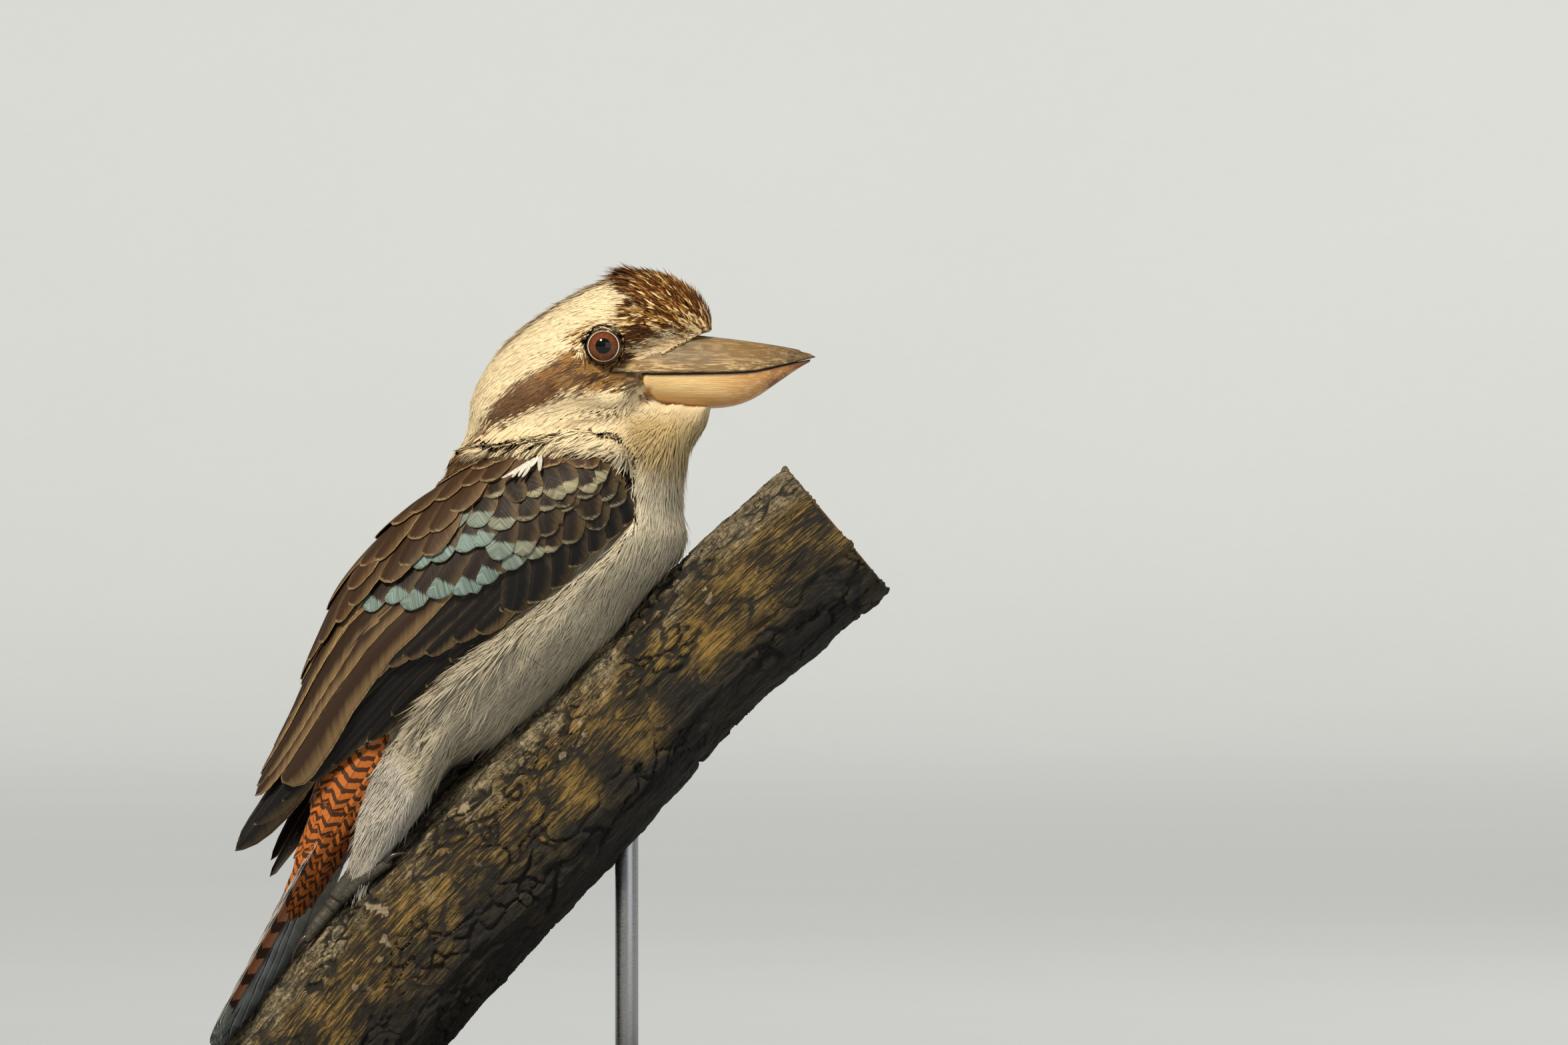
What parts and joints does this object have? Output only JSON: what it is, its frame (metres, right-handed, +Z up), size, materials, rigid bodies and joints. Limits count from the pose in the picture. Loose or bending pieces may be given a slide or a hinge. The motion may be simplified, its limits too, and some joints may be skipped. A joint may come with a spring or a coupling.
{
  "type": "laughing kookaburra",
  "caption": "Life-size still model of a laughing kookaburra perched on a cut length of branch, carried by rods on a flat display base.",
  "frame": {"origin": "middle of the stand base's underside", "axes": "+Z up, +X the way the bill points, -Y the bird's right side"},
  "size_m": [0.293, 0.18, 0.3674],
  "materials": {
    "cream_feather": "soft, matt",
    "breast_feather": "soft, matt",
    "wing_feather": "smooth vanes with a slight sheen",
    "tail_feather": "smooth vanes with a slight sheen",
    "bill_dark": "worn horn, semi-gloss",
    "bill_pale": "worn horn, semi-gloss",
    "eye": "wet gloss",
    "foot_scale": "scaly, matt",
    "bark": "rough cracked bark",
    "stand_wood": "dark stain, satin",
    "stand_rod": "satin"
  },
  "bodies": {
    "root": {"head": "cream_feather", "neck": "cream_feather", "bill_upper": "bill_dark", "bill_lower": "bill_pale", "eye_right": "eye", "eye_left": "eye", "torso": "breast_feather", "tail": "tail_feather", "wing_right": "wing_feather", "leg_right": "breast_feather", "foot_right": "foot_scale", "wing_left": "wing_feather", "leg_left": "breast_feather", "foot_left": "foot_scale", "perch": "bark", "stand_rod_low": "stand_rod", "stand_rod_high": "stand_rod", "stand_base": "stand_wood"}
  },
  "joints": []
}
